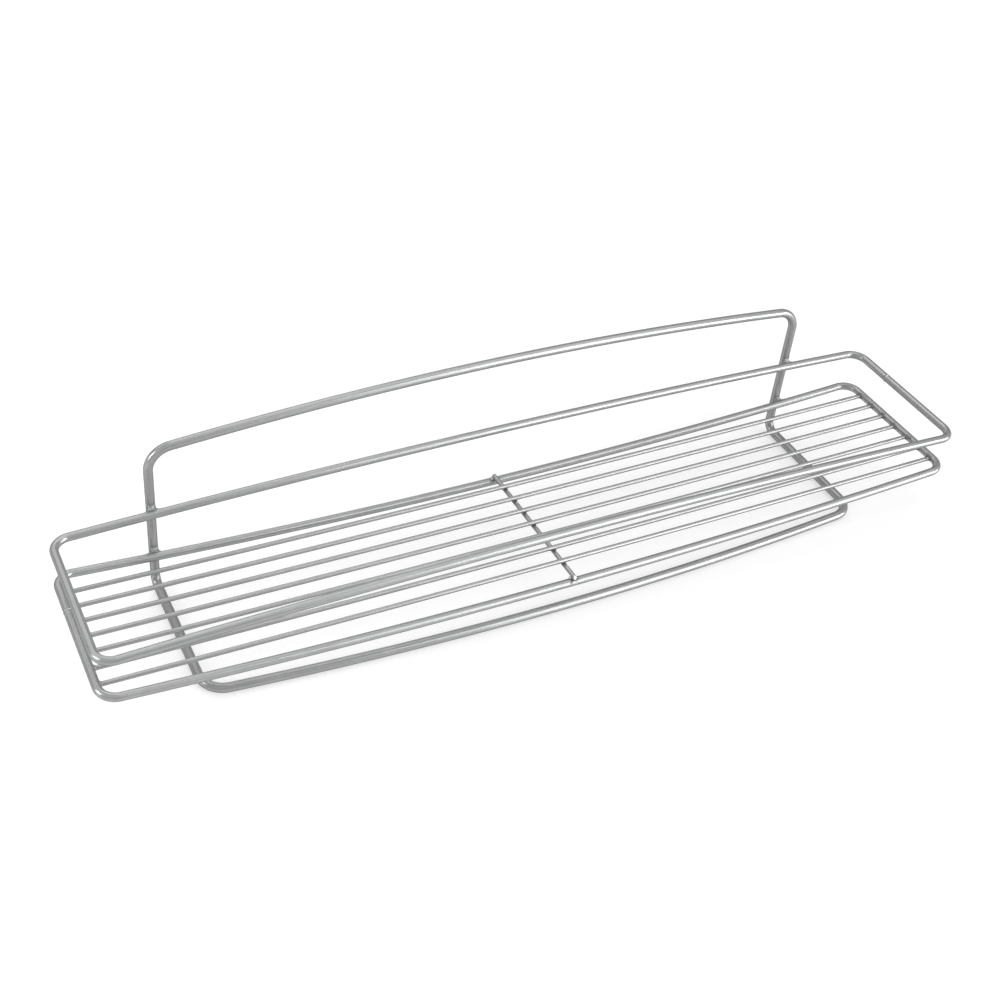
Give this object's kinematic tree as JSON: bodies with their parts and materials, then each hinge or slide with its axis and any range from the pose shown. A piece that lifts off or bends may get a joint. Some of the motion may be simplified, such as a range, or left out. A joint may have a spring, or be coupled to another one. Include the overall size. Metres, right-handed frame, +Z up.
{
  "type": "bathroom shelf",
  "caption": "Wall-hung bathroom shelf of bent, welded wire: an L-shaped frame with bowed bars, a raised guard rim and a slatted wire base.",
  "frame": {"origin": "under the middle of the shelf's box, on the plane that the arms stand on", "axes": "+X along the shelf, +Y to the wall, +Z up"},
  "size_m": [0.5, 0.1, 0.1],
  "materials": {
    "silver_coat": "satin silver-grey coat on drawn steel wire"
  },
  "bodies": {
    "root": {"wall_frame": "silver_coat", "guard_rim": "silver_coat", "shelf_frame": "silver_coat", "grid_wire_1": "silver_coat", "grid_wire_2": "silver_coat", "grid_wire_3": "silver_coat", "grid_wire_4": "silver_coat", "grid_wire_5": "silver_coat", "grid_wire_6": "silver_coat", "grid_wire_7": "silver_coat", "cross_wire": "silver_coat"}
  },
  "joints": []
}
